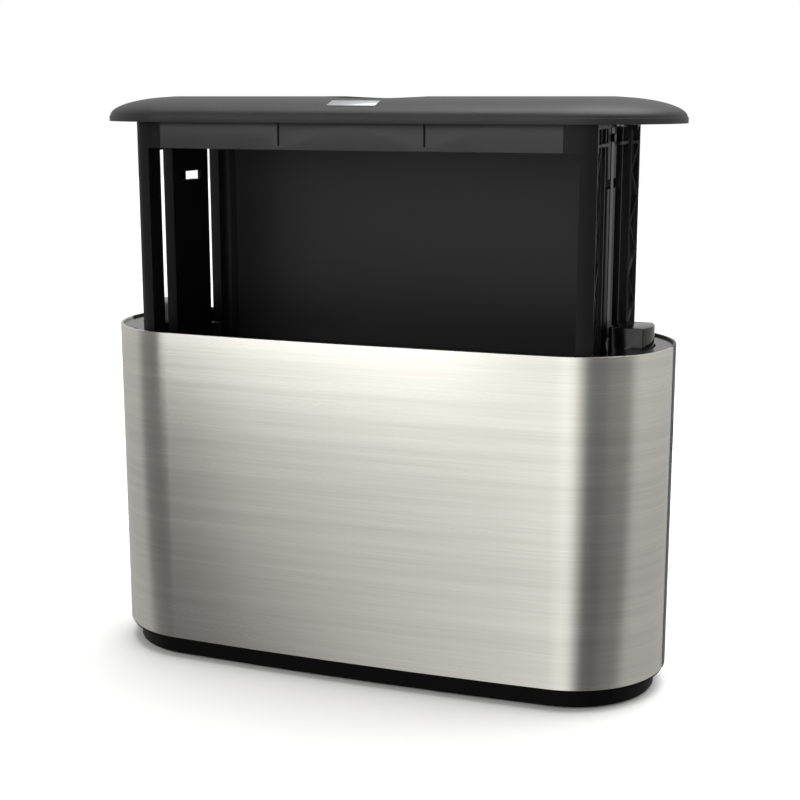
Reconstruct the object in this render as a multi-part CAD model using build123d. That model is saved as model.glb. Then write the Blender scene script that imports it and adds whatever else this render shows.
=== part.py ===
"""Countertop paper towel dispenser, drawn with its carrier pulled up for refilling.

A brushed steel wrap and a moulded back cover stand on a black plinth and close round an inner sleeve.
A carrier with a domed lid slides in the sleeve.  Inside the carrier a towel lifter rides up two slots
at each end, drawn by constant-force springs that wind up in its rounded end casings.

Millimetres, +Z up, the front faces -Y, and the origin is under the middle of the rubber feet.
"""
import math
import os

from build123d import *

# Housing: an oval of two end arcs joined by two gently bowed sides
HOUSING_WIDTH = 323.0
HOUSING_DEPTH = 113.0
SIDE_BOW = 2.5
HOUSING_HEIGHT = 177.5
STEEL_THICKNESS = 1.0
HEM_HEIGHT = 8.0
HEM_THICKNESS = 0.6
COVER_THICKNESS = 1.6
SEAM_Y = -3.0
SEAM_GAP = 1.0
SEAM_STRIP_DEPTH = 0.5
SLEEVE_THICKNESS = 1.2
SKIN_GAP = 0.2
DECK_THICKNESS = 3.0
DECK_RECESS = 1.5

# Plinth and feet
FOOT_PROUD = 1.0
FOOT_THICKNESS = 2.0
FOOT_RADIUS = 9.0
FOOT_FROM_END = 49.5
FOOT_FROM_SIDE = 26.5
PLINTH_HEIGHT = 11.5
PLINTH_INSET = 6.0
PLINTH_WALL = 2.5
FLANGE_THICKNESS = 1.5
FLANGE_INSET = 0.8
FLOOR_THICKNESS = 2.5
BOSS_WALL = 2.0

# Level windows in the two ends of the housing
WINDOW_WIDTH = 7.0
WINDOW_HEIGHT = 19.5
WINDOW_CENTRE_Y = 4.5
WINDOW_ABOVE_FLOOR = 125.0
WINDOW_LENS_THICKNESS = 0.8

# Carrier: it follows the housing's oval, cut flat at both ends, and is open at the front
CARRIER_FROM_END = 33.3
CARRIER_WALL = 2.0
CARRIER_LIFT = 114.0
CARRIER_HEIGHT = 174.0
BACK_WALL_FROM_SIDE = 14.0
BACK_CORNER = 7.0
BEAM_HEIGHT = 14.5
BEAM_SLIT_SPACING = 81.0
BEAM_SLIT_WIDTH = 0.8
BEAM_SLIT_LENGTH = 12.3
TIE_HEIGHT = 6.0
JOINT_SETBACK = 16.2

# End frames of the carrier
POST_WIDTH = 8.2
POST_FROM_SIDE = 19.5
REAR_POST_REACH = 2.8
WEB_THICKNESS = 2.0
WEB_SETBACK = 7.7
WEB_HALF_WIDTH = 21.0
WEB_EDGE_DEPTH = 3.5
SLOT_TO_POST = 2.0
SLOT_RIB_WIDTH = 1.2
SLOT_RIB_DEPTH = 6.0
STRIP_WIDTH = 20.0
STRIP_DEPTH = 4.9
STRIP_WALL = 1.5
SLOT_TOP_MARGIN = 1.5
CATCH_HEIGHT = 5.0
CATCH_BELOW_TOP = 31.5
CROSSBAR_BELOW_TOP = 10.5
CROSSBAR_HEIGHT = 1.5
FRAME_FLANGE = 3.0
TRUSS_PITCH = 15.0
TRUSS_RIB = 0.9
TRUSS_DEPTH = 3.0
FRAME_BOSS_RADIUS = 3.0
FRAME_BOSS_HEIGHT = 11.0
FRAME_BOSS_FROM_END = 10.7
FRAME_BOSS_FROM_SIDE = 12.0

# Lid
LID_OVERHANG = 2.0
LID_BAND = 3.0
LID_STEP = 0.5
LID_RISE = 10.5
LID_SHOULDER = 42.0
LID_WALL = 2.2
LID_SECTIONS = 9
LID_OPENING_LENGTH = 110.0
LID_OPENING_WIDTH = 40.0
LID_DIP_WIDTH = 62.0
LID_DIP_DEPTH = 1.1
LINER_THICKNESS = 2.0
LINER_RECESS = 0.5
LINER_INSET = 3.0
LINER_SLOT_LENGTH = 102.0
LINER_SLOT_WIDTH = 32.0
THROAT_WALL = 1.6
THROAT_DROP = 0.4
LID_SEAT_GAP = 0.5

# Towel lifter
LIFTER_TRAVEL = 96.0
PLATFORM_THICKNESS = 3.0
PLATFORM_TOP_ABOVE_FLOOR = 159.0
PLATFORM_GAP = 2.5
PLATFORM_CORNER = 10.0
ARM_WIDTH = 7.4
ARM_HEIGHT = 16.0
ARM_INSET = 2.0
PLATFORM_RIB = 2.0
PLATFORM_RIB_HEIGHT = 3.0
CASING_INSET = 11.0
CASING_TO_POST = 3.0
CASING_CLEARANCE = 0.5
CASING_HEIGHT = 46.0
CASING_TOP_ABOVE_PLATFORM = 26.0
CASING_WALL = 2.0
CAP_THICKNESS = 2.0
EAR_THICKNESS = 2.5

# Constant-force springs
RIBBON_THICKNESS = 0.3
RIBBON_WIDTH = 6.0
RIBBON_TOP_MARGIN = 3.0
ANCHOR_BELOW_TOP = 8.0
ANCHOR_HEAD_RADIUS = 2.2
ANCHOR_HEAD_HEIGHT = 1.2
DRUM_RADIUS = 6.0
COIL_TURNS = 5
COIL_PITCH = 0.5
DRUM_WIDTH = 8.0
DRUM_FLANGE = 1.0
AXLE_RADIUS = 2.0
AXLE_CLEARANCE = 0.2
DRUM_BELOW_CAP = 10.5

# Fasteners, clearances and guides
RUNNING_GAP = 0.8
SEAT_GAP = 0.3
GUIDE_POST_RADIUS = 3.0
GUIDE_POST_ANGLE = 52.0
SCREW_RADIUS = 1.2
SCREW_HEAD_RADIUS = 2.6
SCREW_HEAD_HEIGHT = 1.6
SCREW_LENGTH = 8.0
SCREW_CLEARANCE = 0.1
LID_SCREW_FROM_END = 29.5
LID_SCREW_FROM_SIDE = 20.5
LID_BOSS_RADIUS = 3.2

# Levels worked out from the sizes above
PLINTH_BOTTOM = FOOT_PROUD
SHELL_BOTTOM = PLINTH_BOTTOM + PLINTH_HEIGHT
SHELL_TOP = SHELL_BOTTOM + HOUSING_HEIGHT
FLOOR_TOP = SHELL_BOTTOM + FLOOR_THICKNESS
DECK_TOP = SHELL_TOP - DECK_RECESS
DECK_BOTTOM = DECK_TOP - DECK_THICKNESS
LID_BOTTOM = SHELL_TOP + CARRIER_LIFT + LID_SEAT_GAP
LINER_BOTTOM = LID_BOTTOM + LINER_RECESS
LINER_TOP = LINER_BOTTOM + LINER_THICKNESS
CARRIER_TOP = LINER_BOTTOM
CARRIER_BOTTOM = CARRIER_TOP - CARRIER_HEIGHT + RUNNING_GAP
LID_TOP = LID_BOTTOM + LID_BAND + LID_RISE
BEAM_BOTTOM = CARRIER_TOP - BEAM_HEIGHT
SLOT_TOP = BEAM_BOTTOM - SLOT_TOP_MARGIN
PLATFORM_TOP = FLOOR_TOP + PLATFORM_TOP_ABOVE_FLOOR
PLATFORM_BOTTOM = PLATFORM_TOP - PLATFORM_THICKNESS
ARM_BOTTOM = PLATFORM_BOTTOM - PLATFORM_RIB_HEIGHT
SLOT_BOTTOM = ARM_BOTTOM
CASING_TOP = PLATFORM_TOP + CASING_TOP_ABOVE_PLATFORM
CASING_BOTTOM = CASING_TOP - CASING_HEIGHT
CATCH_Z = CARRIER_TOP - CATCH_BELOW_TOP
WINDOW_Z = FLOOR_TOP + WINDOW_ABOVE_FLOOR

# Places across the ends, for the right hand end
END_RADIUS = HOUSING_DEPTH / 2 - SIDE_BOW
FOOT_X = HOUSING_WIDTH / 2 - FOOT_FROM_END
FOOT_Y = HOUSING_DEPTH / 2 - FOOT_FROM_SIDE
CARRIER_WIDTH = HOUSING_WIDTH - 2 * CARRIER_FROM_END
CARRIER_END = CARRIER_WIDTH / 2
JOINT_X = CARRIER_END - JOINT_SETBACK
BACK_WALL_Y = HOUSING_DEPTH / 2 - BACK_WALL_FROM_SIDE
POST_FROM_Y = HOUSING_DEPTH / 2 - POST_FROM_SIDE
SLOT_OUTER_Y = POST_FROM_Y - SLOT_TO_POST
FRAME_BOSS_X = CARRIER_END - FRAME_BOSS_FROM_END
FRAME_BOSS_Y = HOUSING_DEPTH / 2 - FRAME_BOSS_FROM_SIDE
CASING_HALF_WIDTH = POST_FROM_Y - CASING_TO_POST
LID_SCREW_X = HOUSING_WIDTH / 2 - LID_SCREW_FROM_END
LID_SCREW_Y = HOUSING_DEPTH / 2 - LID_SCREW_FROM_SIDE
SLEEVE_INSET = STEEL_THICKNESS + HEM_THICKNESS + SKIN_GAP
SLEEVE_INNER = SLEEVE_INSET + SLEEVE_THICKNESS
END_CENTRE_X = HOUSING_WIDTH / 2 - END_RADIUS
CARRIER_INSET = SLEEVE_INNER + RUNNING_GAP
WEB_X = CARRIER_END - WEB_SETBACK
STRIP_X = WEB_X + STRIP_DEPTH
CASING_RADIUS = END_RADIUS - CASING_INSET
CASING_INNER_X = CARRIER_END + CASING_CLEARANCE
ARM_Y = (WEB_HALF_WIDTH + SLOT_OUTER_Y) / 2
COIL_RADIUS = DRUM_RADIUS + COIL_TURNS * COIL_PITCH
RIBBON_X = STRIP_X + RIBBON_THICKNESS / 2
DRUM_X = RIBBON_X + COIL_RADIUS
DRUM_Z = CASING_TOP - DRUM_BELOW_CAP
GUIDE_POST_REACH = END_RADIUS - SLEEVE_INNER - GUIDE_POST_RADIUS
GUIDE_POST_X = END_CENTRE_X + GUIDE_POST_REACH * math.cos(math.radians(GUIDE_POST_ANGLE))
GUIDE_POST_Y = GUIDE_POST_REACH * math.sin(math.radians(GUIDE_POST_ANGLE))
RIBBON_TOP = CARRIER_TOP - RIBBON_TOP_MARGIN
ANCHOR_Z = CARRIER_TOP - ANCHOR_BELOW_TOP

# The sides' bow: one arc from end arc to end arc, tangent to both
BOW_RADIUS = (END_CENTRE_X**2 + HOUSING_DEPTH**2 / 4 - END_RADIUS**2) / (HOUSING_DEPTH - 2 * END_RADIUS)
BOW_CENTRE = BOW_RADIUS - HOUSING_DEPTH / 2


def side_y(x, inset):
    """How far the bowed side lies from the middle at x, for an outline moved in by inset."""
    return math.sqrt((BOW_RADIUS - inset) ** 2 - x**2) - BOW_CENTRE


def oval_face(inset, z=0.0, overhang=0.0):
    """The housing's outline, moved in by inset or out by overhang, as a flat face at height z."""
    off = inset - overhang
    end, bow = END_RADIUS - off, BOW_RADIUS - off
    meet = math.degrees(math.atan2(BOW_CENTRE, END_CENTRE_X))
    with BuildLine() as edge:
        CenterArc((END_CENTRE_X, 0), end, -meet, 2 * meet)
        CenterArc((0, -BOW_CENTRE), bow, meet, 180 - 2 * meet)
        CenterArc((-END_CENTRE_X, 0), end, 180 - meet, 2 * meet)
        CenterArc((0, BOW_CENTRE), bow, 180 + meet, 180 - 2 * meet)
    return Pos(0, 0, z) * make_face(edge.edges())


def oval_solid(inset, low, high, overhang=0.0):
    """An upright block of the housing's outline."""
    return extrude(oval_face(inset, low, overhang), high - low)


def oval_tube(outer_inset, inner_inset, low, high):
    """An upright tube between two insets of the housing's outline."""
    return oval_solid(outer_inset, low, high) - oval_solid(inner_inset, low, high)


def box_between(x, y, z):
    """A box from pairs of lowest and highest X, Y and Z."""
    size = (x[1] - x[0], y[1] - y[0], z[1] - z[0])
    return Pos((x[0] + x[1]) / 2, (y[0] + y[1]) / 2, (z[0] + z[1]) / 2) * Box(*size)


def upright_cylinder(x, y, low, high, radius):
    return Pos(x, y, (low + high) / 2) * Cylinder(radius, high - low)


def both_ends(shape):
    """The shape at the right hand end and its mirror image at the left."""
    return {"right": shape, "left": mirror(shape, Plane.YZ)}


def rounded_block(width, depth, corner, low, high):
    return extrude(Pos(0, 0, low) * RectangleRounded(width, depth, corner), high - low)


def screw(x, y, head_z, up=1):
    """A pan-head screw with its head's seat at head_z and its shank along up."""
    shank = upright_cylinder(x, y, *sorted((head_z, head_z + up * SCREW_LENGTH)), SCREW_RADIUS)
    head = upright_cylinder(x, y, *sorted((head_z, head_z - up * SCREW_HEAD_HEIGHT)), SCREW_HEAD_RADIUS)
    return head + shank


def screw_hole(x, y, head_z, up=1):
    """The pilot hole for a screw, from its head's seat upwards or downwards."""
    low, high = sorted((head_z - up, head_z + up * (SCREW_LENGTH + 1)))
    return upright_cylinder(x, y, low, high, SCREW_RADIUS + SCREW_CLEARANCE)


def window_cutter():
    """The obround level window, cut straight through the right hand end."""
    face = Plane.YZ * Pos(WINDOW_CENTRE_Y, WINDOW_Z) * Rot(0, 0, 90) * SlotOverall(WINDOW_HEIGHT, WINDOW_WIDTH)
    return extrude(Pos(END_CENTRE_X, 0, 0) * face, END_RADIUS + LID_OVERHANG)


def front_half(low, high):
    """Everything in front of the seam, for cutting the wrap and the cover apart."""
    return box_between((-HOUSING_WIDTH, HOUSING_WIDTH), (-HOUSING_DEPTH, SEAM_Y), (low, high))


def make_front_shell():
    """The steel wrap, with a folded hem along its top and bottom edges."""
    skin = oval_tube(0, STEEL_THICKNESS, SHELL_BOTTOM, SHELL_TOP)
    hem_inset = STEEL_THICKNESS + HEM_THICKNESS
    low_hem = oval_tube(STEEL_THICKNESS, hem_inset, SHELL_BOTTOM, SHELL_BOTTOM + HEM_HEIGHT)
    high_hem = oval_tube(STEEL_THICKNESS, hem_inset, SHELL_TOP - HEM_HEIGHT, SHELL_TOP)
    return (skin + low_hem + high_hem) & front_half(SHELL_BOTTOM, SHELL_TOP)


def make_back_cover():
    """The moulded rear half, with a level window in each end."""
    cover = oval_tube(0, COVER_THICKNESS, SHELL_BOTTOM, SHELL_TOP)
    cover -= Pos(0, SEAM_GAP, 0) * front_half(0, SHELL_TOP + DECK_THICKNESS)
    for cutter in both_ends(window_cutter()).values():
        cover -= cutter
    return cover


def make_seam_strip():
    """The black strip that fills the seam between the wrap and the cover, at the right hand end."""
    strip = oval_tube(SEAM_STRIP_DEPTH, COVER_THICKNESS, SHELL_BOTTOM, SHELL_TOP)
    return strip & box_between((0, HOUSING_WIDTH), (SEAM_Y, SEAM_Y + SEAM_GAP), (0, SHELL_TOP))


def make_level_lens():
    """The clear lens that closes the level window from behind, at the right hand end."""
    lens = oval_tube(COVER_THICKNESS - WINDOW_LENS_THICKNESS, COVER_THICKNESS, 0, SHELL_TOP)
    return lens & window_cutter()


def guide_post_places():
    return [(sx * GUIDE_POST_X, sy * GUIDE_POST_Y) for sx in (1, -1) for sy in (1, -1)]


def make_inner_sleeve():
    """The sleeve that the carrier runs in, between the floor and the deck."""
    sleeve = oval_tube(SLEEVE_INSET, SLEEVE_INNER, FLOOR_TOP, DECK_BOTTOM)
    for cutter in both_ends(window_cutter()).values():
        sleeve -= cutter
    return sleeve


def carrier_outline(gap, low, high):
    """The carrier's outline as a block: the oval cut flat at both ends, with the rear posts' steps."""
    oval = oval_solid(CARRIER_INSET - gap, low, high)
    reach = CARRIER_END + gap
    block = oval & box_between((-reach, reach), (-HOUSING_DEPTH, HOUSING_DEPTH), (low, high))
    reach += REAR_POST_REACH
    return block + (oval & box_between((-reach, reach), (POST_FROM_Y - gap, HOUSING_DEPTH), (low, high)))


def carrier_block(gap, low, high):
    """The space that the carrier and the lifter's end casings sweep, with a gap all round."""
    block = carrier_outline(gap, low, high)
    for casing in both_ends(casing_block(gap, low, high)).values():
        block += casing
    return block


def make_top_deck():
    """The deck just under the rim, with the hole that the carrier rises through."""
    deck = oval_solid(SLEEVE_INSET, DECK_BOTTOM, DECK_TOP)
    deck -= carrier_block(RUNNING_GAP, DECK_BOTTOM - 1, DECK_TOP + 1)
    for x, y in guide_post_places():
        deck -= upright_cylinder(x, y, DECK_BOTTOM, DECK_TOP + 1, SCREW_RADIUS + SCREW_CLEARANCE)
        deck -= upright_cylinder(x, y, DECK_TOP - SCREW_HEAD_HEIGHT, DECK_TOP, SCREW_HEAD_RADIUS + SCREW_CLEARANCE)
    return deck


def foot_places():
    return [(sx * FOOT_X, sy * FOOT_Y) for sx in (1, -1) for sy in (1, -1)]


def make_base_tray():
    """The black plinth and the floor above it, hollow underneath, with a boss over each foot."""
    tray = oval_tube(PLINTH_INSET, PLINTH_INSET + PLINTH_WALL, PLINTH_BOTTOM, SHELL_BOTTOM)
    tray += oval_solid(SLEEVE_INSET, SHELL_BOTTOM, FLOOR_TOP)
    tray += oval_solid(FLANGE_INSET, SHELL_BOTTOM - FLANGE_THICKNESS, SHELL_BOTTOM)
    rib_x = FOOT_X - FOOT_RADIUS - BOSS_WALL
    rib_y = side_y(rib_x / 2, PLINTH_INSET + PLINTH_WALL / 2)
    for x in (-rib_x / 2, 0, rib_x / 2):
        tray += box_between((x - PLINTH_WALL / 2, x + PLINTH_WALL / 2), (-rib_y, rib_y),
                            (SHELL_BOTTOM - PLINTH_HEIGHT / 2, SHELL_BOTTOM))
    pocket_top = PLINTH_BOTTOM + FOOT_THICKNESS - FOOT_PROUD
    for x, y in foot_places():
        tray += upright_cylinder(x, y, PLINTH_BOTTOM, SHELL_BOTTOM, FOOT_RADIUS + BOSS_WALL)
        tray -= upright_cylinder(x, y, PLINTH_BOTTOM - 1, pocket_top, FOOT_RADIUS + SCREW_CLEARANCE)
    for x, y in guide_post_places():
        tray -= upright_cylinder(x, y, SHELL_BOTTOM, FLOOR_TOP, SCREW_RADIUS)
    return tray


def make_rubber_feet():
    feet = [upright_cylinder(x, y, 0, FOOT_THICKNESS, FOOT_RADIUS) for x, y in foot_places()]
    return Compound([fillet(foot.edges().sort_by(Axis.Z)[:1], FOOT_PROUD / 2) for foot in feet])


def make_guide_posts():
    """The two upright posts at the right hand end, which guide the end casing and take the screws."""
    posts = []
    for x, y in guide_post_places():
        if x > 0:
            post = upright_cylinder(x, y, FLOOR_TOP, DECK_BOTTOM, GUIDE_POST_RADIUS)
            post -= upright_cylinder(x, y, FLOOR_TOP, SHELL_BOTTOM + SCREW_LENGTH, SCREW_RADIUS)
            post -= screw_hole(x, y, DECK_TOP - SCREW_HEAD_HEIGHT, -1)
            posts.append(post)
    return Compound(posts)


def make_base_pins():
    """Dowel pins that stand in the floor and hold the guide posts' feet."""
    return Compound([upright_cylinder(x, y, SHELL_BOTTOM, SHELL_BOTTOM + SCREW_LENGTH, SCREW_RADIUS)
                     for x, y in guide_post_places()])


def make_deck_screws():
    return Compound([screw(x, y, DECK_TOP - SCREW_HEAD_HEIGHT, -1) for x, y in guide_post_places()])


def front_wall(low, high):
    """The carrier's bowed front wall between two heights, as wide as the whole carrier."""
    wall = oval_tube(CARRIER_INSET, CARRIER_INSET + CARRIER_WALL, low, high)
    return wall & box_between((-CARRIER_END, CARRIER_END), (-HOUSING_DEPTH, -POST_FROM_Y), (low, high))


def between_joints(low, high):
    return box_between((-JOINT_X, JOINT_X), (-HOUSING_DEPTH, HOUSING_DEPTH), (low, high))


def make_back_panel():
    """The flat rear wall of the carrier."""
    y = (BACK_WALL_Y - CARRIER_WALL, BACK_WALL_Y)
    return box_between((-JOINT_X, JOINT_X), y, (CARRIER_BOTTOM, CARRIER_TOP))


def make_front_beam():
    """The beam over the loading opening, with the two slits that free its springy middle."""
    beam = front_wall(BEAM_BOTTOM, CARRIER_TOP) & between_joints(BEAM_BOTTOM, CARRIER_TOP)
    for side in (1, -1):
        x = side * BEAM_SLIT_SPACING / 2
        beam -= box_between((x - BEAM_SLIT_WIDTH / 2, x + BEAM_SLIT_WIDTH / 2), (-HOUSING_DEPTH, 0),
                            (CARRIER_TOP - BEAM_SLIT_LENGTH, CARRIER_TOP))
    return beam


def make_bottom_tie():
    """The front rail that ties the two end frames together at the foot of the carrier."""
    top = CARRIER_BOTTOM + TIE_HEIGHT
    return front_wall(CARRIER_BOTTOM, top) & between_joints(CARRIER_BOTTOM, top)


def truss_pocket(y_low, y_high, face_x):
    """What is cut from a post's side to leave its zigzag ribs, and the plain cell above them."""
    x = (face_x - TRUSS_DEPTH, face_x + 1)
    cell_floor = CARRIER_TOP - CROSSBAR_BELOW_TOP
    pocket = box_between(x, (y_low, y_high), (cell_floor, CARRIER_TOP - FRAME_FLANGE))
    low, high = CARRIER_BOTTOM + FRAME_FLANGE, cell_floor - CROSSBAR_HEIGHT
    pocket += box_between(x, (y_low, y_high), (low, high))
    bays = round((high - low) / TRUSS_PITCH)
    pitch = (high - low) / bays
    length = math.hypot(pitch, y_high - y_low)
    tilt = math.degrees(math.atan2(y_high - y_low, pitch))
    middle = ((x[0] + x[1]) / 2, (y_low + y_high) / 2)
    for bay in range(bays):
        lean = tilt if bay % 2 else -tilt
        place = Pos(*middle, low + (bay + 0.5) * pitch) * Rot(lean, 0, 0)
        pocket -= place * Box(x[1] - x[0], TRUSS_RIB, length + TRUSS_RIB)
    return pocket


def make_posts():
    """The end frame's two corner posts, with the zigzag ribs on their outer faces."""
    inner_x, face_x, full = CARRIER_END - POST_WIDTH, CARRIER_END, (CARRIER_BOTTOM, CARRIER_TOP)
    outline = carrier_outline(0, *full)
    front = outline & box_between((inner_x, face_x), (-HOUSING_DEPTH, -POST_FROM_Y), full)
    rear = outline & box_between((inner_x, HOUSING_WIDTH / 2), (POST_FROM_Y, HOUSING_DEPTH), full)
    low_y = POST_FROM_Y + TRUSS_RIB
    for reach in (0, REAR_POST_REACH):
        end_x = face_x + reach
        high_y = math.sqrt((END_RADIUS - CARRIER_INSET) ** 2 - (end_x - END_CENTRE_X) ** 2) - TRUSS_RIB
        if reach:
            rear -= truss_pocket(low_y, high_y, end_x)
        else:
            front -= truss_pocket(-high_y, -low_y, end_x)
    return front + rear


def make_end_frame():
    """The right hand end of the carrier: a web with a raised strip, a slot at each side and two posts."""
    full = (CARRIER_BOTTOM, CARRIER_TOP)
    frame = make_posts()
    for low, high in ((BEAM_BOTTOM, CARRIER_TOP), (CARRIER_BOTTOM, CARRIER_BOTTOM + TIE_HEIGHT)):
        frame += front_wall(low, high) & box_between((JOINT_X, CARRIER_END), (-HOUSING_DEPTH, 0), (low, high))
    web_x = (WEB_X, WEB_X + WEB_THICKNESS)
    corner = rounded_block(2 * web_x[1], 2 * BACK_WALL_Y, BACK_CORNER, *full)
    corner -= rounded_block(2 * web_x[0], 2 * (BACK_WALL_Y - CARRIER_WALL), BACK_CORNER - CARRIER_WALL, *full)
    frame += corner & box_between((JOINT_X, web_x[1]), (SLOT_OUTER_Y, BACK_WALL_Y), full)
    frame += box_between(web_x, (-WEB_HALF_WIDTH, WEB_HALF_WIDTH), full)
    for sy in (1, -1):
        edge = sorted((sy * (WEB_HALF_WIDTH - SLOT_RIB_WIDTH), sy * WEB_HALF_WIDTH))
        frame += box_between((WEB_X, WEB_X + WEB_EDGE_DEPTH), edge, full)
        rib = sorted((sy * SLOT_OUTER_Y, sy * (SLOT_OUTER_Y + SLOT_RIB_WIDTH)))
        frame += box_between((WEB_X, WEB_X + SLOT_RIB_DEPTH), rib, full)
        frame += box_between(web_x, sorted((sy * SLOT_OUTER_Y, sy * POST_FROM_Y)), full)
        frame += upright_cylinder(FRAME_BOSS_X, sy * FRAME_BOSS_Y, CARRIER_TOP - FRAME_BOSS_HEIGHT, CARRIER_TOP,
                                  FRAME_BOSS_RADIUS) & carrier_outline(0, *full)
    across = (-POST_FROM_Y, POST_FROM_Y)
    for low, high in ((SLOT_TOP, CARRIER_TOP), (CARRIER_BOTTOM, SLOT_BOTTOM)):
        frame += box_between(web_x, across, (low, high))
    bar_top = CARRIER_TOP - CROSSBAR_BELOW_TOP
    for low, high in ((CARRIER_TOP - FRAME_FLANGE, CARRIER_TOP), (bar_top - CROSSBAR_HEIGHT, bar_top),
                      (CARRIER_BOTTOM, CARRIER_BOTTOM + FRAME_FLANGE)):
        frame += box_between((WEB_X, WEB_X + SLOT_RIB_DEPTH), across, (low, high))
    strip_y = (-STRIP_WIDTH / 2, STRIP_WIDTH / 2)
    frame -= box_between((STRIP_X, CARRIER_END + 1), strip_y, full)
    frame += box_between((WEB_X, STRIP_X), strip_y, full)
    frame -= box_between((web_x[1], STRIP_X - STRIP_WALL), (strip_y[0] + STRIP_WALL, strip_y[1] - STRIP_WALL),
                         (CARRIER_BOTTOM - 1, SLOT_TOP))
    frame -= box_between((WEB_X, STRIP_X), (strip_y[0] + STRIP_WALL, strip_y[1] - STRIP_WALL),
                         (CATCH_Z - CATCH_HEIGHT / 2, CATCH_Z + CATCH_HEIGHT / 2))
    for sy in (1, -1):
        frame -= screw_hole(FRAME_BOSS_X, sy * FRAME_BOSS_Y, LINER_TOP, -1)
    return frame - Pos(STRIP_X, 0, ANCHOR_Z) * Rot(0, 90, 0) * Cylinder(
        SCREW_RADIUS + SCREW_CLEARANCE, 2 * (STRIP_DEPTH - SCREW_CLEARANCE))


def make_lid():
    """The domed lid: a band, a small step, and a crown that rises on a soft curve, hollow underneath."""
    z0 = LID_BOTTOM + LID_BAND

    def crown(shrink, z_shift, bottom):
        faces = []
        for k in range(LID_SECTIONS):
            turn = math.pi / 2 * k / (LID_SECTIONS - 1)
            inset = LID_STEP + (LID_SHOULDER - LID_STEP) * (1 - math.cos(turn))
            faces.append(oval_face(inset + shrink, z0 + z_shift + LID_RISE * math.sin(turn), LID_OVERHANG))
        return oval_solid(shrink, bottom, z0 + z_shift, LID_OVERHANG) + loft(faces)

    lid = crown(0, 0, LID_BOTTOM) - crown(LID_WALL, -LID_WALL, LID_BOTTOM - 1)
    opening = extrude(Pos(0, 0, LID_BOTTOM) * Ellipse(LID_OPENING_LENGTH / 2, LID_OPENING_WIDTH / 2), 2 * LID_RISE)
    lid -= opening
    dip_radius = (LID_DIP_WIDTH**2 / 4 + LID_DIP_DEPTH**2) / (2 * LID_DIP_DEPTH)
    lid -= Pos(0, 0, LID_TOP - LID_DIP_DEPTH + dip_radius) * Rot(90, 0, 0) * Cylinder(dip_radius, HOUSING_DEPTH)
    inside_top = LID_TOP - LID_WALL
    for x, y in lid_screw_places():
        boss = upright_cylinder(x, y, LINER_TOP, inside_top, LID_BOSS_RADIUS)
        lid += boss & crown(LID_WALL / 2, -LID_WALL / 2, LID_BOTTOM)
        lid -= screw_hole(x, y, LINER_BOTTOM)
    return lid


def lid_screw_places():
    along = (-LID_SCREW_X, 0, LID_SCREW_X)
    return [(x, sy * (LID_SCREW_Y if x == 0 else LID_SCREW_Y / 2)) for x in along for sy in (1, -1)]


def make_lid_liner():
    """The plate that closes the lid from below and carries the frame, with the slot that towels leave by."""
    liner = oval_solid(LINER_INSET, LINER_BOTTOM, LINER_TOP)
    liner -= extrude(Pos(0, 0, LINER_BOTTOM) * Ellipse(LINER_SLOT_LENGTH / 2, LINER_SLOT_WIDTH / 2), LINER_THICKNESS)
    for x, y in lid_screw_places():
        liner -= screw_hole(x, y, LINER_BOTTOM)
    for x, y in frame_screw_places():
        liner -= screw_hole(x, y, LINER_TOP, -1)
    return liner


def make_throat():
    """The flared throat that leads the towels from the liner's slot up to the lid's opening."""
    top = LID_TOP - LID_WALL - THROAT_DROP

    def cone(grow):
        low = Pos(0, 0, LINER_TOP) * Ellipse(LINER_SLOT_LENGTH / 2 + grow, LINER_SLOT_WIDTH / 2 + grow)
        high = Pos(0, 0, top) * Ellipse(LID_OPENING_LENGTH / 2 + grow, LID_OPENING_WIDTH / 2 + grow)
        return loft([low, high])

    return cone(THROAT_WALL) - cone(0)


def frame_screw_places():
    return [(sx * FRAME_BOSS_X, sy * FRAME_BOSS_Y) for sx in (1, -1) for sy in (1, -1)]


def make_frame_screws():
    return Compound([screw(x, y, LINER_TOP, -1) for x, y in frame_screw_places()])


def make_lid_screws():
    return Compound([screw(x, y, LINER_BOTTOM) for x, y in lid_screw_places()])


def casing_block(gap, low, high):
    """The D-shaped block of the right hand end casing: flat towards the carrier, round outside."""
    half, inner = CASING_HALF_WIDTH + gap, CASING_INNER_X - gap
    block = upright_cylinder(END_CENTRE_X, 0, low, high, CASING_RADIUS + gap)
    return block & box_between((inner, HOUSING_WIDTH / 2), (-half, half), (low, high))


def make_casing():
    """The rounded end casing that houses the spring, open at the middle of its flat side for the drum."""
    casing = casing_block(0, CASING_BOTTOM, CASING_TOP - CAP_THICKNESS)
    casing -= casing_block(-CASING_WALL, CASING_BOTTOM + CASING_WALL, CASING_TOP)
    ear_y = DRUM_WIDTH / 2 + DRUM_FLANGE + SEAT_GAP
    for sy in (1, -1):
        casing += box_between((CASING_INNER_X, DRUM_X + COIL_RADIUS / 2),
                              sorted((sy * ear_y, sy * (ear_y + EAR_THICKNESS))),
                              (CASING_BOTTOM, CASING_TOP - CAP_THICKNESS))
    casing -= box_between((CASING_INNER_X - 1, CASING_INNER_X + CASING_WALL), (-ear_y, ear_y),
                          (DRUM_Z - COIL_RADIUS - RUNNING_GAP, CASING_TOP))
    return casing - axle_cylinder(AXLE_RADIUS, 2 * CASING_HALF_WIDTH)


def axle_cylinder(radius, length):
    return Pos(DRUM_X, 0, DRUM_Z) * Rot(90, 0, 0) * Cylinder(radius, length)


def make_cap():
    """The lid of the end casing, notched where the ribbon rises beside it."""
    cap = casing_block(0, CASING_TOP - CAP_THICKNESS, CASING_TOP)
    notch_y = DRUM_WIDTH / 2 + DRUM_FLANGE + SEAT_GAP
    return cap - box_between((CASING_INNER_X - 1, CASING_INNER_X + CASING_WALL), (-notch_y, notch_y),
                             (CASING_BOTTOM, CASING_TOP + 1))


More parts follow.
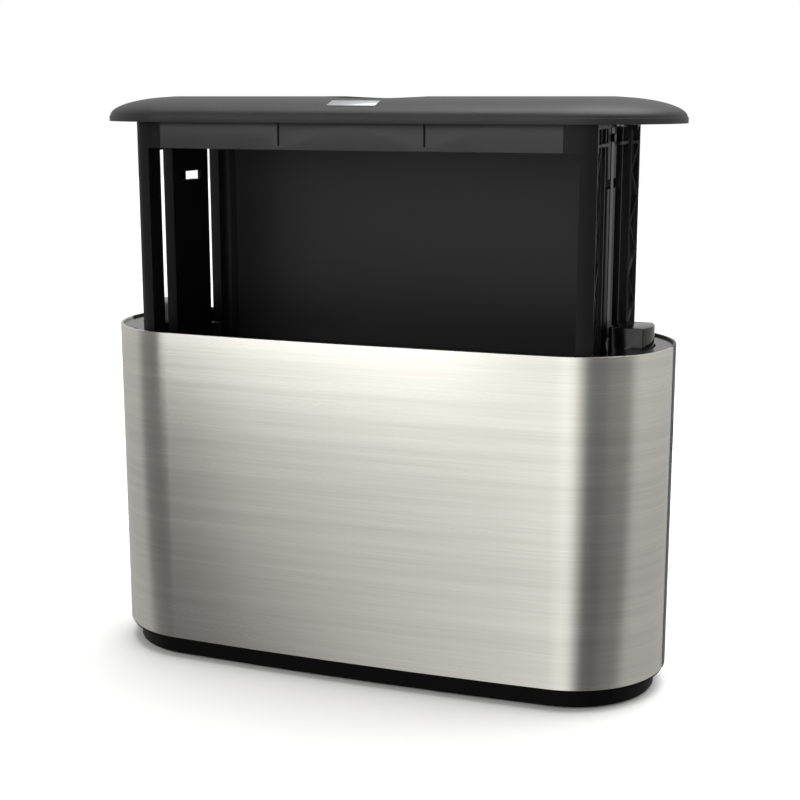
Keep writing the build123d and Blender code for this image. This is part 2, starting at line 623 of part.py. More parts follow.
def make_axle():
    return axle_cylinder(AXLE_RADIUS, 2 * (DRUM_WIDTH / 2 + DRUM_FLANGE + SEAT_GAP + EAR_THICKNESS))


def make_drum():
    """The flanged drum that the ribbon winds on."""
    drum = axle_cylinder(DRUM_RADIUS, DRUM_WIDTH)
    for sy in (1, -1):
        y = sy * (DRUM_WIDTH + DRUM_FLANGE) / 2
        drum += Pos(0, y, 0) * axle_cylinder(COIL_RADIUS - RIBBON_THICKNESS, DRUM_FLANGE)
    return drum - axle_cylinder(AXLE_RADIUS + AXLE_CLEARANCE, 2 * DRUM_WIDTH)


def make_spring_coil():
    """The wound part of the ribbon: close rings on the drum, each free of the next."""
    coil = axle_cylinder(COIL_RADIUS - RIBBON_THICKNESS / 2, RIBBON_WIDTH)
    return coil - axle_cylinder(DRUM_RADIUS + SCREW_CLEARANCE, 2 * RIBBON_WIDTH)


def make_ribbon():
    """The straight stretch of the ribbon, from the drum up the column to its anchor screw."""
    x = (RIBBON_X - RIBBON_THICKNESS / 2, RIBBON_X + RIBBON_THICKNESS / 2)
    ribbon = box_between(x, (-RIBBON_WIDTH / 2, RIBBON_WIDTH / 2), (DRUM_Z, RIBBON_TOP))
    return ribbon - Pos(RIBBON_X, 0, ANCHOR_Z) * Rot(0, 90, 0) * Cylinder(SCREW_RADIUS + SCREW_CLEARANCE, 4)


def make_anchor_screw():
    """The screw that holds the ribbon's upper end to the column."""
    turned = Pos(RIBBON_X + RIBBON_THICKNESS / 2, 0, ANCHOR_Z) * Rot(0, 90, 0)
    head = upright_cylinder(0, 0, 0, ANCHOR_HEAD_HEIGHT, ANCHOR_HEAD_RADIUS)
    return turned * (head + upright_cylinder(0, 0, -(STRIP_DEPTH - 1), 0, SCREW_RADIUS))


def make_platform():
    """The plate that the towels lie on, ribbed below, with two arms at each end."""
    width = 2 * (WEB_X - PLATFORM_GAP)
    inset = CARRIER_INSET + CARRIER_WALL + PLATFORM_GAP
    rear_y = BACK_WALL_Y - CARRIER_WALL - PLATFORM_GAP
    across = box_between((-width / 2, width / 2), (-HOUSING_DEPTH, rear_y), (PLATFORM_BOTTOM, PLATFORM_TOP))
    plate = oval_solid(inset, PLATFORM_BOTTOM, PLATFORM_TOP) & across
    plate &= rounded_block(width, 2 * side_y(0, inset), PLATFORM_CORNER, PLATFORM_BOTTOM, PLATFORM_TOP)
    plate = fillet(plate.edges().filter_by(Axis.Z).sort_by(Axis.Y)[-2:], BACK_CORNER)
    rib_z = (PLATFORM_BOTTOM - PLATFORM_RIB_HEIGHT, PLATFORM_BOTTOM)
    for y in (-ARM_Y, 0, ARM_Y):
        plate += box_between((-width / 2 + PLATFORM_CORNER, width / 2 - PLATFORM_CORNER),
                             (y - PLATFORM_RIB / 2, y + PLATFORM_RIB / 2), rib_z)
    low_arm, tall_arm = width / 2 - PLATFORM_CORNER, width / 2 - ARM_INSET
    for side in (1, -1):
        for y in (-ARM_Y, ARM_Y):
            arm_y = (y - ARM_WIDTH / 2, y + ARM_WIDTH / 2)
            plate += box_between(sorted((side * low_arm, side * tall_arm)), arm_y, (ARM_BOTTOM, PLATFORM_BOTTOM))
            plate += box_between(sorted((side * tall_arm, side * CASING_INNER_X)), arm_y,
                                 (ARM_BOTTOM, ARM_BOTTOM + ARM_HEIGHT))
    return plate


def all_parts():
    """Every piece by its node's name."""
    parts = {
        "front_shell": make_front_shell(),
        "back_cover": make_back_cover(),
        "inner_sleeve": make_inner_sleeve(),
        "top_deck": make_top_deck(),
        "base_tray": make_base_tray(),
        "rubber_feet": make_rubber_feet(),
        "base_pins": make_base_pins(),
        "deck_screws": make_deck_screws(),
        "carrier_back_panel": make_back_panel(),
        "carrier_front_beam": make_front_beam(),
        "carrier_bottom_tie": make_bottom_tie(),
        "lid": make_lid(),
        "lid_liner": make_lid_liner(),
        "dispensing_throat": make_throat(),
        "lid_screws": make_lid_screws(),
        "frame_screws": make_frame_screws(),
        "lifter_platform": make_platform(),
    }
    ends = {
        "seam_strip": make_seam_strip(),
        "level_lens": make_level_lens(),
        "guide_posts": make_guide_posts(),
        "carrier_end_frame": make_end_frame(),
        "ribbon_anchor_screw": make_anchor_screw(),
        "spring_ribbon": make_ribbon(),
        "spring_coil": make_spring_coil(),
        "spring_drum": make_drum(),
        "drum_axle": make_axle(),
        "spring_casing": make_casing(),
        "casing_cap": make_cap(),
    }
    for name, shape in ends.items():
        for side, placed in both_ends(shape).items():
            parts[f"{side}_{name}"] = placed
    return parts


os.makedirs("parts", exist_ok=True)
for node, shape in all_parts().items():
    export_step(shape, f"parts/{node}.step")
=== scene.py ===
"""Looks for the countertop paper towel dispenser: its steel wrap, moulded lid, carrier and studio."""
import math

import bpy
from mathutils import Matrix, Vector


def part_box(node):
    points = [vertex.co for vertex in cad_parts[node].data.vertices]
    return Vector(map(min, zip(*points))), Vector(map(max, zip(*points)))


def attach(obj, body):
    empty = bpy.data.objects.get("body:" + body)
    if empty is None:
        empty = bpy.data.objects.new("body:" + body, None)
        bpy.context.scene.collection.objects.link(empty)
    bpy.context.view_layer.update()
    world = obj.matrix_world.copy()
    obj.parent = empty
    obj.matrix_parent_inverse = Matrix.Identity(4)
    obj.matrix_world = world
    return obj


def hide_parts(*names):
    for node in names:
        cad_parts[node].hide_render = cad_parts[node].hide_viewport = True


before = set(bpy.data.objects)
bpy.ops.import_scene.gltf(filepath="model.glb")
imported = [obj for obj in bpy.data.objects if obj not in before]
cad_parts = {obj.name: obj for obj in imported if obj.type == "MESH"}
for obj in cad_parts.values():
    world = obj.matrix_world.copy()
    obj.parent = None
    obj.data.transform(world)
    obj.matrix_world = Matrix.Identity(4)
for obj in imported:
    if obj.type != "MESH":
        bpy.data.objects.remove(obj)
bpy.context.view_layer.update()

bl_info = {
    "name": "Paper Towel Dispenser",
    "version": (1, 0, 0),
    "blender": (4, 5, 0),
    "location": "3D View > Sidebar > Dispenser",
    "description": "Finishes the packed dispenser and sets up its studio",
    "category": "Object",
}

MM = 0.001
FLOOR_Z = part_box("rubber_feet")[0].z

# The round end blocks: a sector of a cylinder, in millimetres. The radius is measured, the width is chosen
BLOCK_RADIUS = 25.5
BLOCK_CENTRE = 124.7
BLOCK_INNER = 128.7
BLOCK_HALF_WIDTH = 12.5
BLOCK_GAP = 0.8
YOKE_OUTER, YOKE_HALF_WIDTH = 131.2, 31.7
YOKE_FOOT, YOKE_TOP = 168.0, 179.5
NOTCH_INNER, NOTCH_OUTER, NOTCH_HALF_WIDTH = 127.0, 143.2, 5.3
NOTCH_FOOT, NOTCH_TOP = 180.0, 198.6

# The deck: its filled ends, and how far it stands above the solid's
END_CENTRE = 107.5
FILL_RADIUS = 48.45
FILL_INNER = 132.0
DECK_RISE = 0.4

# The end frames: catch window, walls along the web, and the slant of the rear post
CATCH_INNER, CATCH_OUTER, CATCH_HALF_WIDTH = 110.0, 136.0, 12.0
CATCH_FOOT, CATCH_TOP = 271.0, 276.0
WALL_INNER, WALL_OUTER, WALL_NEAR, WALL_FAR = 122.0, 126.5, 19.8, 21.0
SLANT_START = (126.7, 35.0)
SLANT_DEGREES = 24.6

# Height of the bare plate on the lid's front, in metres
PLATE_Z = 0.3145


def linear(hex_colour):
    """An sRGB hex value as linear red, green, blue and alpha."""
    parts = [int(hex_colour.lstrip("#")[k:k + 2], 16) / 255 for k in (0, 2, 4)]
    return tuple(c / 12.92 if c <= 0.04045 else ((c + 0.055) / 1.055) ** 2.4 for c in parts) + (1.0,)


def add_node(tree, kind, settings=None, **sockets):
    """Adds one node, sets its properties and gives each named socket a value or a link."""
    node = tree.nodes.new(kind)
    for key, value in (settings or {}).items():
        setattr(node, key, value)
    for name, value in sockets.items():
        socket = node.inputs[int(name[1:]) if name[:1] == "i" and name[1:].isdigit() else name.replace("_", " ")]
        if isinstance(value, bpy.types.NodeSocket):
            tree.links.new(value, socket)
        else:
            socket.default_value = value
    return node


def new_material(name):
    material = bpy.data.materials.new(name)
    material.use_nodes = True
    material.node_tree.nodes.clear()
    return material, material.node_tree


def close_material(tree, shader):
    add_node(tree, "ShaderNodeOutputMaterial", Surface=shader.outputs[0])


def brushed_stainless():
    """Cold-rolled stainless sheet, belt-brushed level: fine streaks that blur every reflection upright."""
    material, tree = new_material("Brushed stainless steel")
    place = add_node(tree, "ShaderNodeTexCoord")
    # Brush lines: 0.3 mm in the real sheet, drawn 0.45 mm apart so that they show, and about 70 mm long
    along = add_node(tree, "ShaderNodeMapping", Vector=place.outputs["Object"], Scale=(14, 14, 2200))
    streak = add_node(tree, "ShaderNodeTexNoise", Vector=along.outputs[0], Scale=1.0, Detail=4.0, Roughness=0.65)
    # Uneven belt pressure: bands a few millimetres high that run the length of the sheet
    wide = add_node(tree, "ShaderNodeMapping", Vector=place.outputs["Object"], Scale=(4, 4, 190))
    band = add_node(tree, "ShaderNodeTexNoise", Vector=wide.outputs[0], Scale=1.0, Detail=2.0)
    both = add_node(tree, "ShaderNodeMath", {"operation": "ADD"}, i0=streak.outputs[0], i1=band.outputs[0])
    tone = add_node(tree, "ShaderNodeValToRGB", Fac=add_node(
        tree, "ShaderNodeMath", {"operation": "MULTIPLY"}, i0=both.outputs[0], i1=0.5).outputs[0])
    tone.color_ramp.elements[0].position, tone.color_ramp.elements[1].position = 0.36, 0.64
    tone.color_ramp.elements[0].color = linear("#d2cfc8")
    tone.color_ramp.elements[1].color = linear("#dfdcd5")
    rough = add_node(tree, "ShaderNodeMapRange", Value=band.outputs[0])
    rough.inputs["To Min"].default_value, rough.inputs["To Max"].default_value = 0.25, 0.29
    bump = add_node(tree, "ShaderNodeBump", Height=streak.outputs[0], Strength=0.06, Distance=0.0002)
    turn = add_node(tree, "ShaderNodeTangent", {"direction_type": "RADIAL", "axis": "Z"})
    shader = add_node(tree, "ShaderNodeBsdfPrincipled", Base_Color=tone.outputs[0], Roughness=rough.outputs[0],
                      Normal=bump.outputs[0], Tangent=turn.outputs[0], Metallic=1.0, Anisotropic=0.75)
    shader.inputs["Anisotropic Rotation"].default_value = 0.25
    close_material(tree, shader)
    return material


def moulded_plastic(name, dark, light, roughness, grain_mm, depth, sheen=0.5):
    """Injection moulded plastic: a spark-eroded grain, faint flow clouds in its colour, and its own sheen."""
    material, tree = new_material(name)
    place = add_node(tree, "ShaderNodeTexCoord")
    cloud = add_node(tree, "ShaderNodeTexNoise", Vector=place.outputs["Object"], Scale=1 / (45 * MM), Detail=3.0)
    tone = add_node(tree, "ShaderNodeValToRGB", Fac=cloud.outputs[0])
    tone.color_ramp.elements[0].position, tone.color_ramp.elements[1].position = 0.3, 0.7
    tone.color_ramp.elements[0].color, tone.color_ramp.elements[1].color = linear(dark), linear(light)
    grain = add_node(tree, "ShaderNodeTexNoise", Vector=place.outputs["Object"], Scale=1 / (grain_mm * MM),
                     Detail=2.0)
    rough = add_node(tree, "ShaderNodeMapRange", Value=cloud.outputs[0])
    rough.inputs["To Min"].default_value = roughness - 0.04
    rough.inputs["To Max"].default_value = roughness + 0.04
    bump = add_node(tree, "ShaderNodeBump", Height=grain.outputs[0], Strength=depth, Distance=0.0002)
    shader = add_node(tree, "ShaderNodeBsdfPrincipled", Base_Color=tone.outputs[0], Roughness=rough.outputs[0],
                      Normal=bump.outputs[0], IOR=1.5)
    shader.inputs["Specular IOR Level"].default_value = sheen
    close_material(tree, shader)
    return material


def plated_steel(name, colour, roughness, streak_mm):
    """Bright plated or rolled steel with faint uneven gloss."""
    material, tree = new_material(name)
    place = add_node(tree, "ShaderNodeTexCoord")
    cloud = add_node(tree, "ShaderNodeTexNoise", Vector=place.outputs["Object"], Scale=1 / (streak_mm * MM),
                     Detail=3.0)
    rough = add_node(tree, "ShaderNodeMapRange", Value=cloud.outputs[0])
    rough.inputs["To Min"].default_value = roughness - 0.06
    rough.inputs["To Max"].default_value = roughness + 0.06
    shader = add_node(tree, "ShaderNodeBsdfPrincipled", Roughness=rough.outputs[0], Metallic=1.0,
                      Base_Color=linear(colour))
    close_material(tree, shader)
    return material


def smoked_lens():
    """Smoked polycarbonate: dark and polished; drawn opaque, though the real lens is a little see-through."""
    material, tree = new_material("Smoked polycarbonate")
    place = add_node(tree, "ShaderNodeTexCoord")
    wave = add_node(tree, "ShaderNodeTexNoise", Vector=place.outputs["Object"], Scale=1 / (9 * MM), Detail=1.0)
    bump = add_node(tree, "ShaderNodeBump", Height=wave.outputs[0], Strength=0.04, Distance=0.0003)
    shader = add_node(tree, "ShaderNodeBsdfPrincipled", Normal=bump.outputs[0], Base_Color=linear("#0c0c0d"),
                      Roughness=0.12, IOR=1.58)
    close_material(tree, shader)
    return material


def paint_nodes(material, *names):
    """Gives CAD nodes that keep their shape a finish."""
    for name in names:
        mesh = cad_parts[name].data
        mesh.materials.clear()
        mesh.materials.append(material)


def deselect_all():
    if bpy.context.object and bpy.context.object.mode != "OBJECT":
        bpy.ops.object.mode_set(mode="OBJECT")
    bpy.ops.object.select_all(action="DESELECT")


def eased_copy(node, body, material, radius_mm, piece_name, angle=28, segments=2):
    """A copy of a CAD node whose sharp edges are rounded, standing in for the node on its body."""
    deselect_all()
    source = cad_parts[node]
    piece = source.copy()
    piece.data = source.data.copy()
    piece.name = piece_name
    bpy.context.collection.objects.link(piece)
    piece.hide_render = piece.hide_viewport = False
    piece.select_set(True)
    bpy.context.view_layer.objects.active = piece
    bpy.ops.object.mode_set(mode="EDIT")
    bpy.ops.mesh.select_all(action="SELECT")
    bpy.ops.mesh.remove_doubles(threshold=0.00002)
    bpy.ops.mesh.dissolve_limited(angle_limit=math.radians(0.6))
    bpy.ops.object.mode_set(mode="OBJECT")
    if radius_mm:
        bevel = piece.modifiers.new("Eased edges", "BEVEL")
        bevel.width, bevel.segments = radius_mm * MM, segments
        bevel.limit_method, bevel.angle_limit = "ANGLE", math.radians(angle)
        bevel.use_clamp_overlap, bevel.harden_normals = True, False
        bpy.ops.object.modifier_apply(modifier=bevel.name)
    bpy.ops.object.shade_smooth_by_angle(angle=math.radians(32))
    piece.data.materials.clear()
    piece.data.materials.append(material)
    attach(piece, body)
    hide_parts(node)
    piece.select_set(False)
    return piece


def baked(piece):
    """Puts a piece's place and turn into its mesh, so that its object sits at the origin."""
    deselect_all()
    piece.select_set(True)
    bpy.context.view_layer.objects.active = piece
    bpy.ops.object.transform_apply(location=True, rotation=True, scale=True)
    return piece


def slab(corner, other):
    """A box between two opposite corners, in metres."""
    low = [min(a, b) for a, b in zip(corner, other)]
    high = [max(a, b) for a, b in zip(corner, other)]
    bpy.ops.mesh.primitive_cube_add(size=1, location=[(a + b) / 2 for a, b in zip(low, high)])
    bpy.context.object.scale = [b - a for a, b in zip(low, high)]
    return baked(bpy.context.object)


def drum(radius, foot, height):
    """An upright cylinder standing on its foot, in metres."""
    bpy.ops.mesh.primitive_cylinder_add(vertices=144, radius=radius, depth=height,
                                        location=(foot[0], foot[1], foot[2] + height / 2))
    return baked(bpy.context.object)


def boolean(piece, tool, operation):
    """Joins, cuts or intersects a piece with a tool, and removes the tool."""
    deselect_all()
    piece.select_set(True)
    bpy.context.view_layer.objects.active = piece
    cut = piece.modifiers.new("Cut", "BOOLEAN")
    cut.operation, cut.object, cut.solver = operation, tool, "EXACT"
    bpy.ops.object.modifier_apply(modifier=cut.name)
    bpy.data.objects.remove(tool, do_unlink=True)


def both_ends(*names):
    return [f"{side}_{name}" for side in ("left", "right") for name in names]


class DispenserColours(bpy.types.PropertyGroup):
    lid_colour: bpy.props.StringProperty(name="Lid", description="Colour of the lid's plastic", default="#1d1d1e")
    carrier_colour: bpy.props.StringProperty(name="Carrier", description="Colour of the carrier's plastic",
                                             default="#18181a")
    back_colour: bpy.props.StringProperty(name="Back cover", description="Colour of the rear cover", default="#2e2e30")
    plate_colour: bpy.props.StringProperty(name="Plate", description="Colour of the bare plate on the lid", default="#b9bbbd")


class DispenserSizes(bpy.types.PropertyGroup):
    edge_radius: bpy.props.FloatProperty(name="Edge radius", description="Rounding of moulded edges, in millimetres",
                                         default=0.5, min=0.1, max=2.0)
    plate_length: bpy.props.FloatProperty(name="Plate length", description="Length of the bare plate on the lid",
                                          default=0.027, unit="LENGTH")
    plate_height: bpy.props.FloatProperty(name="Plate width", description="Width of the bare plate across the lid",
                                          default=0.0085, unit="LENGTH")


class DispenserStudio(bpy.types.PropertyGroup):
    lens: bpy.props.FloatProperty(name="Lens", description="Focal length of the camera", default=66.67, unit="CAMERA")
    floor_size: bpy.props.FloatProperty(name="Floor", description="Side of the floor", default=9.0, unit="LENGTH")
    sun: bpy.props.FloatProperty(name="Overhead light", description="Strength of the soft overhead light", default=3.2)


class DISPENSER_OT_shell(bpy.types.Operator):
    """Finishes the steel wrap, the back cover, the seam strips and the level lenses"""
    bl_idname = "dispenser.shell"
    bl_label = "Housing shells"

    def execute(self, context):
        colours = context.scene.dispenser_colours
        # The rim of a folded sheet is round: the hem's edge is eased by a quarter of a millimetre
        eased_copy("front_shell", "housing", brushed_stainless(), 0.25, "steel_wrap", angle=50)
        cover = moulded_plastic("ABS with a fine grain, back cover", colours.back_colour, "#343436", 0.42, 0.9, 0.10)
        eased_copy("back_cover", "housing", cover, 0.35, "rear_cover_moulding", angle=50)
        black = moulded_plastic("Black TPE seam strip", "#08080a", "#0c0c0e", 0.5, 1.2, 0.05)
        paint_nodes(black, *both_ends("seam_strip"))
        paint_nodes(smoked_lens(), *both_ends("level_lens"))
        return {"FINISHED"}


class DISPENSER_OT_base(bpy.types.Operator):
    """Finishes the plinth, the feet, the deck and all the metal fittings"""
    bl_idname = "dispenser.base"
    bl_label = "Base, deck and fittings"

    def execute(self, context):
        tray = moulded_plastic("Black polypropylene, plinth", "#020202", "#040404", 0.55, 0.9, 0.12, 0.08)
        eased_copy("base_tray", "housing", tray, 0.5, "plinth_moulding", angle=50)
        paint_nodes(moulded_plastic("Nitrile rubber feet", "#101010", "#151515", 0.75, 0.7, 0.2), "rubber_feet")
        # The deck and the end blocks are polished: their grey is the white studio, seen at a grazing angle
        deck = moulded_plastic("Polished black ABS, deck", "#0a0a0b", "#0d0d0e", 0.14, 1.5, 0.02)
        self.filled_deck(deck)
        sleeve = moulded_plastic("Dark ABS, inner sleeve", "#0a0a0a", "#0d0d0e", 0.5, 0.8, 0.10, 0.3)
        paint_nodes(sleeve, "inner_sleeve", *both_ends("guide_posts"))
        zinc = plated_steel("Zinc plated steel screws", "#a9abad", 0.32, 2.0)
        paint_nodes(zinc, "base_pins", "lid_screws", "frame_screws", *both_ends("drum_axle"))
        black_screw = plated_steel("Blacked steel screws", "#1c1c1e", 0.4, 2.0)
        paint_nodes(black_screw, "deck_screws", *both_ends("ribbon_anchor_screw"))
        spring = plated_steel("Blued spring steel", "#1b1d22", 0.3, 6.0)
        paint_nodes(spring, *both_ends("spring_ribbon", "spring_coil"))
        return {"FINISHED"}

    def filled_deck(self, material):
        """The deck in the photo reaches up to the small round end blocks, with a slot for the carrier."""
        deck = eased_copy("top_deck", "housing", material, 0, "deck_moulding")
        low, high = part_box("top_deck")
        for side in (-1, 1):
            fill = drum(FILL_RADIUS * MM, (side * END_CENTRE * MM, 0, low.z), high.z - low.z)
            end = slab((side * FILL_INNER * MM, -0.06, low.z - 0.01), (side * 0.170, 0.06, high.z + 0.01))
            boolean(fill, end, "INTERSECT")
            hole = drum((BLOCK_RADIUS + BLOCK_GAP) * MM, (side * BLOCK_CENTRE * MM, 0, low.z - 0.01), 0.04)
            reach = (BLOCK_HALF_WIDTH + BLOCK_GAP) * MM
            sides = slab((side * 0.120, -reach, low.z - 0.02), (side * 0.170, reach, high.z + 0.02))
            boolean(hole, sides, "INTERSECT")
            boolean(fill, hole, "DIFFERENCE")
            boolean(deck, fill, "UNION")
        # In the photo only a hair of the rim stands above the deck
        deck.data.transform(Matrix.Translation((0, 0, DECK_RISE * MM)))


class DISPENSER_OT_carrier(bpy.types.Operator):
    """Finishes the lid and the carrier, with their moulded edges eased"""
    bl_idname = "dispenser.carrier"
    bl_label = "Lid and carrier"

    def execute(self, context):
        colours, edge = context.scene.dispenser_colours, context.scene.dispenser_sizes.edge_radius
        lid = moulded_plastic("Satin ABS, lid", colours.lid_colour, "#232324", 0.46, 0.7, 0.06, 0.38)
        eased_copy("lid", "carrier", lid, edge / 2, "lid_moulding", angle=30, segments=2)
        body = moulded_plastic("Satin ABS, carrier", colours.carrier_colour, "#1b1b1c", 0.40, 0.7, 0.06, 0.32)
        # The beam and the bottom tie take a paler copy of the carrier plastic, painted light because the beam faces
        # the light; the end frames take a darker copy, painted shade because they stand in the lid's shade
        painted_light_abs = moulded_plastic("Satin ABS, front beam, painted light", "#28282a", "#2c2c2e", 0.40, 0.7, 0.06, 0.4)
        painted_shade_abs = moulded_plastic("Satin ABS, end frames, painted shade", "#0b0b0c", "#0f0f10", 0.40, 0.7, 0.06, 0.2)
        for node in ["carrier_front_beam", "carrier_bottom_tie"]:
            eased_copy(node, "carrier", painted_light_abs, 0.3, node.replace("carrier_", "") + "_moulding", angle=50)
        paint_nodes(body, "carrier_back_panel", "lid_liner", "dispensing_throat")
        for side in ("left", "right"):
            self.cut_end_frame(side, painted_shade_abs)
        self.lid_plate(context)
        return {"FINISHED"}

    def cut_end_frame(self, side, material):
        """An end frame with the taller catch window and the slanted rear post that the photo shows."""
        node = f"{side}_carrier_end_frame"
        # The frame's material is the darker copy of the carrier plastic: painted shade from the lid
        piece = eased_copy(node, "carrier", material, 0, f"{side}_end_frame_moulding")
        sign = 1 if side == "right" else -1
        window = slab((sign * CATCH_INNER * MM, -CATCH_HALF_WIDTH * MM, CATCH_FOOT * MM),
                      (sign * CATCH_OUTER * MM, CATCH_HALF_WIDTH * MM, CATCH_TOP * MM))
        boolean(piece, window, "DIFFERENCE")
        low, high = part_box(node)
        for y in (-1, 1):
            wall = slab((sign * WALL_INNER * MM, y * WALL_NEAR * MM, low.z + 0.001),
                        (sign * WALL_OUTER * MM, y * WALL_FAR * MM, high.z - 0.001))
            boolean(piece, wall, "UNION")
        wedge = slab((0, -0.001, 0.136), (sign * 0.008, 0.013, 0.300))
        start = Matrix.Translation((sign * SLANT_START[0] * MM, SLANT_START[1] * MM, 0))
        wedge.data.transform(start @ Matrix.Rotation(math.radians(-SLANT_DEGREES * sign), 4, "Z"))
        boolean(piece, wedge, "DIFFERENCE")

    def lid_plate(self, context):
        """A bare plate, without any lettering, let into the front of the lid."""
        sizes, colours = context.scene.dispenser_sizes, context.scene.dispenser_colours
        length, height = sizes.plate_length, sizes.plate_height
        plate = slab((-length / 2, -0.0003, -height / 2), (length / 2, 0.0003, height / 2))
        plate.name = "lid_plate"
        # The ray finds where the lid's front face lies and how far it leans
        lid = bpy.data.objects["lid_moulding"]
        context.view_layer.update()
        _, spot, normal, _ = lid.ray_cast(Vector((0, -0.12, PLATE_Z)), Vector((0, 1, 0)))
        lean = math.atan2(normal.z, -normal.y)
        plate.data.transform(Matrix.Translation(spot) @ Matrix.Rotation(-lean, 4, "X"))
        bpy.context.view_layer.objects.active = plate
        bevel = plate.modifiers.new("Rounded plate", "BEVEL")
        bevel.width, bevel.segments = 0.0002, 2
        bpy.ops.object.modifier_apply(modifier=bevel.name)
        bpy.ops.object.shade_smooth_by_angle(angle=math.radians(32))
        plate.data.materials.append(plated_steel("Satin nickel plate", colours.plate_colour, 0.36, 4.0))
        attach(plate, "carrier")


class DISPENSER_OT_lifter(bpy.types.Operator):
    """Finishes the lifter: its platform, end casings, caps and drums"""
    bl_idname = "dispenser.lifter"
    bl_label = "Towel lifter"

    def execute(self, context):
        edge = context.scene.dispenser_sizes.edge_radius
        dark = moulded_plastic("Satin ABS, lifter", "#0c0c0d", "#101011", 0.42, 0.7, 0.06, 0.35)
        paint_nodes(dark, "lifter_platform")
        # Polished tool steel leaves these two blocks almost piano black
        gloss = moulded_plastic("Polished black ABS, end casings", "#070707", "#0a0a0b", 0.14, 1.5, 0.02)
        for side in ("left", "right"):
            self.end_block(1 if side == "right" else -1, side, gloss, edge)
        acetal = moulded_plastic("Natural acetal, drums", "#c9c7be", "#d3d1c9", 0.35, 1.0, 0.03)
        paint_nodes(acetal, *both_ends("spring_drum"))
        return {"FINISHED"}

    def end_block(self, sign, side, material, edge):
        """The small round block over one drum, in place of the casing and its cap."""
        foot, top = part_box(f"{side}_spring_casing")[0].z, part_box(f"{side}_casing_cap")[1].z
        inner, reach = sign * BLOCK_INNER * MM, BLOCK_HALF_WIDTH * MM
        block = drum(BLOCK_RADIUS * MM, (sign * BLOCK_CENTRE * MM, 0, foot), top - foot)
        block.name = f"{side}_end_block"
        boolean(block, slab((inner, -reach, foot - 0.01), (sign * 0.17, reach, top + 0.01)), "INTERSECT")
        # The yoke lies below the deck and meets both arms of the platform
        yoke = slab((inner, -YOKE_HALF_WIDTH * MM, YOKE_FOOT * MM),
                    (sign * YOKE_OUTER * MM, YOKE_HALF_WIDTH * MM, YOKE_TOP * MM))
        boolean(block, yoke, "UNION")
        # Room for the drum and its coil, open towards the carrier
        notch = slab((sign * NOTCH_INNER * MM, -NOTCH_HALF_WIDTH * MM, NOTCH_FOOT * MM),
                     (sign * NOTCH_OUTER * MM, NOTCH_HALF_WIDTH * MM, NOTCH_TOP * MM))
        boolean(block, notch, "DIFFERENCE")
        bpy.context.view_layer.objects.active = block
        bevel = block.modifiers.new("Eased edges", "BEVEL")
        bevel.width, bevel.segments = edge * MM, 3
        bevel.limit_method, bevel.angle_limit, bevel.use_clamp_overlap = "ANGLE", math.radians(50), True
        bpy.ops.object.modifier_apply(modifier=bevel.name)
        bpy.ops.object.shade_smooth_by_angle(angle=math.radians(32))
        block.data.materials.clear()
        block.data.materials.append(material)
        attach(block, "lifter")
        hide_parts(f"{side}_spring_casing")
        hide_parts(f"{side}_casing_cap")


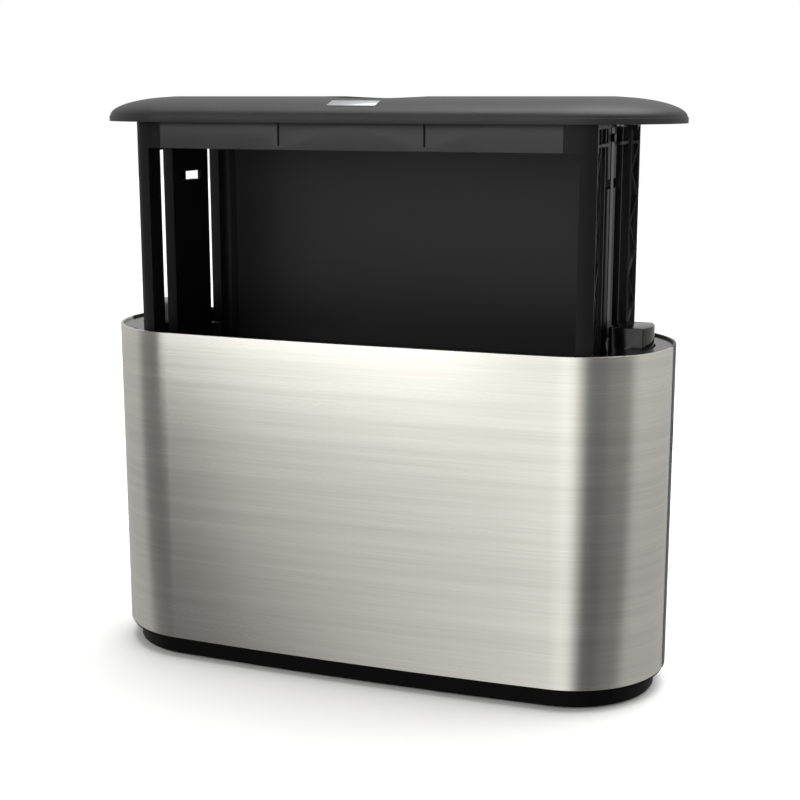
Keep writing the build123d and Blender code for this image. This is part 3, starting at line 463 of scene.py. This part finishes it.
class DISPENSER_OT_stage(bpy.types.Operator):
    """Sets the floor, the studio light and the camera"""
    bl_idname = "dispenser.stage"
    bl_label = "Studio"

    def execute(self, context):
        scene, studio = context.scene, context.scene.dispenser_studio
        bpy.ops.mesh.primitive_plane_add(size=studio.floor_size, location=(0, 0, FLOOR_Z))
        floor = context.object
        floor.name = "studio_floor"
        material, tree = new_material("White studio sweep")
        shader = add_node(tree, "ShaderNodeBsdfPrincipled", Base_Color=linear("#f4f4f4"), Roughness=0.9)
        close_material(tree, shader)
        floor.data.materials.append(material)
        floor.visible_glossy = False
        self.light_world(scene)
        bpy.ops.object.light_add(type="SUN", location=(0, 0, 1.5))
        sun = context.object
        sun.name = "overhead_sun"
        sun.data.energy, sun.data.angle = studio.sun, math.radians(60)
        sun.rotation_euler = (math.radians(-14), math.radians(8), 0)
        self.add_softbox("front_softbox", (-0.9, -1.6, 0.9), (0, 0, 0.15), (1.2, 1.0), 5)
        place = Vector((292.5, -767.5, 317.9)) * MM
        bpy.ops.object.camera_add(location=place)
        camera = context.object
        camera.rotation_mode = "QUATERNION"
        camera.rotation_quaternion = Vector((-0.3397, 0.9189, -0.2007)).to_track_quat("-Z", "Y")
        camera.data.lens = studio.lens
        camera.data.sensor_width = 36.0
        camera.data.clip_start = 0.05
        camera.data.shift_x = -0.0015
        scene.camera = camera
        scene.view_settings.view_transform = "Standard"
        return {"FINISHED"}

    def light_world(self, scene):
        """A soft studio by compass angle: a bright front panel between darker gaps. The camera sees white."""
        world = bpy.data.worlds.new("Studio surround")
        scene.world = world
        world.use_nodes = True
        tree = world.node_tree
        tree.nodes.clear()
        place = add_node(tree, "ShaderNodeTexCoord")
        split = add_node(tree, "ShaderNodeSeparateXYZ", Vector=place.outputs["Generated"])
        away = add_node(tree, "ShaderNodeMath", {"operation": "MULTIPLY"}, i0=split.outputs[1], i1=-1.0)
        angle = add_node(tree, "ShaderNodeMath", {"operation": "ARCTAN2"}, i0=split.outputs[0], i1=away.outputs[0])
        share = add_node(tree, "ShaderNodeMapRange", Value=angle.outputs[0])
        share.inputs["From Min"].default_value, share.inputs["From Max"].default_value = -math.pi, math.pi
        ramp = add_node(tree, "ShaderNodeValToRGB", Fac=share.outputs[0])
        levels = [(-180, 0.66), (-84, 0.66), (-68, 0.26), (-43, 0.20), (-37, 0.26), (-33, 0.48), (-29, 0.76),
                  (-20, 0.98), (-14, 1.12), (-8, 1.32), (8, 1.52), (15, 1.36), (23, 0.70), (31, 0.19), (45, 0.18),
                  (60, 0.27), (76, 0.29), (92, 0.68), (180, 0.66)]
        ramp.color_ramp.interpolation = "EASE"
        for k, (degrees, level) in enumerate(levels):
            at = (degrees + 180) / 360
            stop = ramp.color_ramp.elements[k] if k < 2 else ramp.color_ramp.elements.new(at)
            stop.position = at
            stop.color = (level, level, level * 0.985, 1)
        # Below the horizon there is only the dim far side of the room, so that undersides stay black
        height = add_node(tree, "ShaderNodeMapRange", {"interpolation_type": "SMOOTHSTEP"}, Value=split.outputs[2])
        height.inputs["From Min"].default_value, height.inputs["From Max"].default_value = -0.20, 0.08
        height.inputs["To Min"].default_value, height.inputs["To Max"].default_value = 0.74, 0.98
        light = add_node(tree, "ShaderNodeBackground", Color=ramp.outputs[0], Strength=height.outputs[0])
        white = add_node(tree, "ShaderNodeBackground", Color=(1, 1, 1, 1), Strength=1.0)
        path = add_node(tree, "ShaderNodeLightPath")
        mix = add_node(tree, "ShaderNodeMixShader", i0=path.outputs["Is Camera Ray"], i1=light.outputs[0],
                       i2=white.outputs[0])
        add_node(tree, "ShaderNodeOutputWorld", Surface=mix.outputs[0])

    def add_softbox(self, name, place, aim, size, power):
        bpy.ops.object.light_add(type="AREA", location=place)
        lamp = bpy.context.object
        lamp.name = name
        lamp.data.shape = "RECTANGLE"
        lamp.data.size, lamp.data.size_y = size
        lamp.data.energy = power
        lamp.rotation_euler = (Vector(aim) - Vector(place)).to_track_quat("-Z", "Y").to_euler()


class DISPENSER_PT_panel(bpy.types.Panel):
    """The dispenser's pieces and studio"""
    bl_idname = "DISPENSER_PT_panel"
    bl_label = "Paper Towel Dispenser"
    bl_space_type = "VIEW_3D"
    bl_region_type = "UI"
    bl_category = "Dispenser"

    def draw(self, context):
        scene = context.scene
        for group in (scene.dispenser_colours, scene.dispenser_sizes, scene.dispenser_studio):
            for key in group.bl_rna.properties.keys():
                if key not in ("rna_type", "name"):
                    self.layout.prop(group, key)
        for operator in OPERATORS:
            self.layout.operator(operator.bl_idname)


OPERATORS = (DISPENSER_OT_shell, DISPENSER_OT_base, DISPENSER_OT_carrier, DISPENSER_OT_lifter, DISPENSER_OT_stage)
CLASSES = (DispenserColours, DispenserSizes, DispenserStudio) + OPERATORS + (DISPENSER_PT_panel,)


def register():
    for cls in CLASSES:
        bpy.utils.register_class(cls)
    bpy.types.Scene.dispenser_colours = bpy.props.PointerProperty(type=DispenserColours)
    bpy.types.Scene.dispenser_sizes = bpy.props.PointerProperty(type=DispenserSizes)
    bpy.types.Scene.dispenser_studio = bpy.props.PointerProperty(type=DispenserStudio)


def unregister():
    del bpy.types.Scene.dispenser_studio
    del bpy.types.Scene.dispenser_sizes
    del bpy.types.Scene.dispenser_colours
    for cls in reversed(CLASSES):
        bpy.utils.unregister_class(cls)


def main():
    register()
    bpy.ops.dispenser.shell()
    bpy.ops.dispenser.base()
    bpy.ops.dispenser.carrier()
    bpy.ops.dispenser.lifter()
    bpy.ops.dispenser.stage()


if __name__ == "__main__":
    main()
